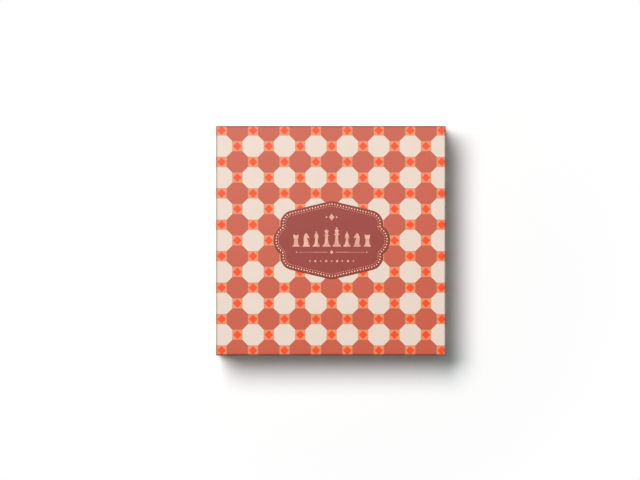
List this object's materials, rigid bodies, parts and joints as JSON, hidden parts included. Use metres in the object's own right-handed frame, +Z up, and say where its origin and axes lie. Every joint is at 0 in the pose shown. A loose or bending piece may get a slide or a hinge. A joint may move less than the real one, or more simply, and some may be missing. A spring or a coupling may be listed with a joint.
{
  "type": "boxed chess set",
  "caption": "Flat square chess box: a printed lift-off lid with a shaped label over a tray with card cells, men lying in them and a flat playing board on top.",
  "frame": {"origin": "middle of the flat underside, on the surface that the box lies on", "axes": "+Z up through the lid, +Y towards the top of the label, +X to its right"},
  "size_m": [0.275, 0.275, 0.0383],
  "materials": {
    "printed_wrap": "matt-laminated printed art paper",
    "label_paper": "matt printed paper with foil",
    "greyboard": "raw greyboard",
    "lining_paper": "uncoated paper",
    "tray_paper": "matt-laminated coloured paper",
    "divider_card": "coloured card",
    "board_print": "matt-laminated printed art paper",
    "backing_paper": "uncoated coloured paper",
    "light_wood": "satin lacquer on pale turned wood",
    "dark_wood": "satin lacquer on stained turned wood"
  },
  "bodies": {
    "tray": {"cross_divider_1": "divider_card", "cross_divider_2": "divider_card", "cross_divider_3": "divider_card", "cross_divider_4": "divider_card", "cross_divider_5": "divider_card", "cross_divider_6": "divider_card", "cross_divider_7": "divider_card", "long_divider_1": "divider_card", "long_divider_2": "divider_card", "long_divider_3": "divider_card", "tray_base_sheet": "tray_paper", "tray_greyboard": "greyboard", "tray_lining": "lining_paper", "tray_wrap": "tray_paper"},
    "lid": {"lid_greyboard": "greyboard", "lid_wrap": "printed_wrap", "lid_lining": "lining_paper", "lid_label": "label_paper"},
    "board": {"board_core": "greyboard", "board_face": "board_print", "board_backing": "backing_paper"},
    "dark_bishop_1": {"dark_bishop_1": "dark_wood"},
    "dark_bishop_2": {"dark_bishop_2": "dark_wood"},
    "dark_king": {"dark_king": "dark_wood"},
    "dark_knight_1": {"dark_knight_1": "dark_wood"},
    "dark_knight_2": {"dark_knight_2": "dark_wood"},
    "dark_pawn_1": {"dark_pawn_1": "dark_wood"},
    "dark_pawn_2": {"dark_pawn_2": "dark_wood"},
    "dark_pawn_3": {"dark_pawn_3": "dark_wood"},
    "dark_pawn_4": {"dark_pawn_4": "dark_wood"},
    "dark_pawn_5": {"dark_pawn_5": "dark_wood"},
    "dark_pawn_6": {"dark_pawn_6": "dark_wood"},
    "dark_pawn_7": {"dark_pawn_7": "dark_wood"},
    "dark_pawn_8": {"dark_pawn_8": "dark_wood"},
    "dark_queen": {"dark_queen": "dark_wood"},
    "dark_rook_1": {"dark_rook_1": "dark_wood"},
    "dark_rook_2": {"dark_rook_2": "dark_wood"},
    "light_bishop_1": {"light_bishop_1": "light_wood"},
    "light_bishop_2": {"light_bishop_2": "light_wood"},
    "light_king": {"light_king": "light_wood"},
    "light_knight_1": {"light_knight_1": "light_wood"},
    "light_knight_2": {"light_knight_2": "light_wood"},
    "light_pawn_1": {"light_pawn_1": "light_wood"},
    "light_pawn_2": {"light_pawn_2": "light_wood"},
    "light_pawn_3": {"light_pawn_3": "light_wood"},
    "light_pawn_4": {"light_pawn_4": "light_wood"},
    "light_pawn_5": {"light_pawn_5": "light_wood"},
    "light_pawn_6": {"light_pawn_6": "light_wood"},
    "light_pawn_7": {"light_pawn_7": "light_wood"},
    "light_pawn_8": {"light_pawn_8": "light_wood"},
    "light_queen": {"light_queen": "light_wood"},
    "light_rook_1": {"light_rook_1": "light_wood"},
    "light_rook_2": {"light_rook_2": "light_wood"}
  },
  "joints": [
    {"name": "lid_lift", "type": "slide", "parent": "tray", "child": "lid", "axis": [0, 0, 1], "range_m": [0, 0.3]},
    {"name": "board_lift", "type": "slide", "parent": "tray", "child": "board", "axis": [0, 0, 1], "range_m": [0, 0.18]},
    {"name": "dark_bishop_1_lift", "type": "slide", "parent": "tray", "child": "dark_bishop_1", "axis": [0, 0, 1], "range_m": [0, 0.06]},
    {"name": "dark_bishop_2_lift", "type": "slide", "parent": "tray", "child": "dark_bishop_2", "axis": [0, 0, 1], "range_m": [0, 0.06]},
    {"name": "dark_king_lift", "type": "slide", "parent": "tray", "child": "dark_king", "axis": [0, 0, 1], "range_m": [0, 0.06]},
    {"name": "dark_knight_1_lift", "type": "slide", "parent": "tray", "child": "dark_knight_1", "axis": [0, 0, 1], "range_m": [0, 0.06]},
    {"name": "dark_knight_2_lift", "type": "slide", "parent": "tray", "child": "dark_knight_2", "axis": [0, 0, 1], "range_m": [0, 0.06]},
    {"name": "dark_pawn_1_lift", "type": "slide", "parent": "tray", "child": "dark_pawn_1", "axis": [0, 0, 1], "range_m": [0, 0.06]},
    {"name": "dark_pawn_2_lift", "type": "slide", "parent": "tray", "child": "dark_pawn_2", "axis": [0, 0, 1], "range_m": [0, 0.06]},
    {"name": "dark_pawn_3_lift", "type": "slide", "parent": "tray", "child": "dark_pawn_3", "axis": [0, 0, 1], "range_m": [0, 0.06]},
    {"name": "dark_pawn_4_lift", "type": "slide", "parent": "tray", "child": "dark_pawn_4", "axis": [0, 0, 1], "range_m": [0, 0.06]},
    {"name": "dark_pawn_5_lift", "type": "slide", "parent": "tray", "child": "dark_pawn_5", "axis": [0, 0, 1], "range_m": [0, 0.06]},
    {"name": "dark_pawn_6_lift", "type": "slide", "parent": "tray", "child": "dark_pawn_6", "axis": [0, 0, 1], "range_m": [0, 0.06]},
    {"name": "dark_pawn_7_lift", "type": "slide", "parent": "tray", "child": "dark_pawn_7", "axis": [0, 0, 1], "range_m": [0, 0.06]},
    {"name": "dark_pawn_8_lift", "type": "slide", "parent": "tray", "child": "dark_pawn_8", "axis": [0, 0, 1], "range_m": [0, 0.06]},
    {"name": "dark_queen_lift", "type": "slide", "parent": "tray", "child": "dark_queen", "axis": [0, 0, 1], "range_m": [0, 0.06]},
    {"name": "dark_rook_1_lift", "type": "slide", "parent": "tray", "child": "dark_rook_1", "axis": [0, 0, 1], "range_m": [0, 0.06]},
    {"name": "dark_rook_2_lift", "type": "slide", "parent": "tray", "child": "dark_rook_2", "axis": [0, 0, 1], "range_m": [0, 0.06]},
    {"name": "light_bishop_1_lift", "type": "slide", "parent": "tray", "child": "light_bishop_1", "axis": [0, 0, 1], "range_m": [0, 0.06]},
    {"name": "light_bishop_2_lift", "type": "slide", "parent": "tray", "child": "light_bishop_2", "axis": [0, 0, 1], "range_m": [0, 0.06]},
    {"name": "light_king_lift", "type": "slide", "parent": "tray", "child": "light_king", "axis": [0, 0, 1], "range_m": [0, 0.06]},
    {"name": "light_knight_1_lift", "type": "slide", "parent": "tray", "child": "light_knight_1", "axis": [0, 0, 1], "range_m": [0, 0.06]},
    {"name": "light_knight_2_lift", "type": "slide", "parent": "tray", "child": "light_knight_2", "axis": [0, 0, 1], "range_m": [0, 0.06]},
    {"name": "light_pawn_1_lift", "type": "slide", "parent": "tray", "child": "light_pawn_1", "axis": [0, 0, 1], "range_m": [0, 0.06]},
    {"name": "light_pawn_2_lift", "type": "slide", "parent": "tray", "child": "light_pawn_2", "axis": [0, 0, 1], "range_m": [0, 0.06]},
    {"name": "light_pawn_3_lift", "type": "slide", "parent": "tray", "child": "light_pawn_3", "axis": [0, 0, 1], "range_m": [0, 0.06]},
    {"name": "light_pawn_4_lift", "type": "slide", "parent": "tray", "child": "light_pawn_4", "axis": [0, 0, 1], "range_m": [0, 0.06]},
    {"name": "light_pawn_5_lift", "type": "slide", "parent": "tray", "child": "light_pawn_5", "axis": [0, 0, 1], "range_m": [0, 0.06]},
    {"name": "light_pawn_6_lift", "type": "slide", "parent": "tray", "child": "light_pawn_6", "axis": [0, 0, 1], "range_m": [0, 0.06]},
    {"name": "light_pawn_7_lift", "type": "slide", "parent": "tray", "child": "light_pawn_7", "axis": [0, 0, 1], "range_m": [0, 0.06]},
    {"name": "light_pawn_8_lift", "type": "slide", "parent": "tray", "child": "light_pawn_8", "axis": [0, 0, 1], "range_m": [0, 0.06]},
    {"name": "light_queen_lift", "type": "slide", "parent": "tray", "child": "light_queen", "axis": [0, 0, 1], "range_m": [0, 0.06]},
    {"name": "light_rook_1_lift", "type": "slide", "parent": "tray", "child": "light_rook_1", "axis": [0, 0, 1], "range_m": [0, 0.06]},
    {"name": "light_rook_2_lift", "type": "slide", "parent": "tray", "child": "light_rook_2", "axis": [0, 0, 1], "range_m": [0, 0.06]}
  ],
  "couplings": [
    {"joint": "board_lift", "follows": "lid_lift", "ratio": 0.6},
    {"joint": "dark_bishop_1_lift", "follows": "lid_lift", "ratio": 0.2},
    {"joint": "dark_bishop_2_lift", "follows": "lid_lift", "ratio": 0.2},
    {"joint": "dark_king_lift", "follows": "lid_lift", "ratio": 0.2},
    {"joint": "dark_knight_1_lift", "follows": "lid_lift", "ratio": 0.2},
    {"joint": "dark_knight_2_lift", "follows": "lid_lift", "ratio": 0.2},
    {"joint": "dark_pawn_1_lift", "follows": "lid_lift", "ratio": 0.2},
    {"joint": "dark_pawn_2_lift", "follows": "lid_lift", "ratio": 0.2},
    {"joint": "dark_pawn_3_lift", "follows": "lid_lift", "ratio": 0.2},
    {"joint": "dark_pawn_4_lift", "follows": "lid_lift", "ratio": 0.2},
    {"joint": "dark_pawn_5_lift", "follows": "lid_lift", "ratio": 0.2},
    {"joint": "dark_pawn_6_lift", "follows": "lid_lift", "ratio": 0.2},
    {"joint": "dark_pawn_7_lift", "follows": "lid_lift", "ratio": 0.2},
    {"joint": "dark_pawn_8_lift", "follows": "lid_lift", "ratio": 0.2},
    {"joint": "dark_queen_lift", "follows": "lid_lift", "ratio": 0.2},
    {"joint": "dark_rook_1_lift", "follows": "lid_lift", "ratio": 0.2},
    {"joint": "dark_rook_2_lift", "follows": "lid_lift", "ratio": 0.2},
    {"joint": "light_bishop_1_lift", "follows": "lid_lift", "ratio": 0.2},
    {"joint": "light_bishop_2_lift", "follows": "lid_lift", "ratio": 0.2},
    {"joint": "light_king_lift", "follows": "lid_lift", "ratio": 0.2},
    {"joint": "light_knight_1_lift", "follows": "lid_lift", "ratio": 0.2},
    {"joint": "light_knight_2_lift", "follows": "lid_lift", "ratio": 0.2},
    {"joint": "light_pawn_1_lift", "follows": "lid_lift", "ratio": 0.2},
    {"joint": "light_pawn_2_lift", "follows": "lid_lift", "ratio": 0.2},
    {"joint": "light_pawn_3_lift", "follows": "lid_lift", "ratio": 0.2},
    {"joint": "light_pawn_4_lift", "follows": "lid_lift", "ratio": 0.2},
    {"joint": "light_pawn_5_lift", "follows": "lid_lift", "ratio": 0.2},
    {"joint": "light_pawn_6_lift", "follows": "lid_lift", "ratio": 0.2},
    {"joint": "light_pawn_7_lift", "follows": "lid_lift", "ratio": 0.2},
    {"joint": "light_pawn_8_lift", "follows": "lid_lift", "ratio": 0.2},
    {"joint": "light_queen_lift", "follows": "lid_lift", "ratio": 0.2},
    {"joint": "light_rook_1_lift", "follows": "lid_lift", "ratio": 0.2},
    {"joint": "light_rook_2_lift", "follows": "lid_lift", "ratio": 0.2}
  ]
}
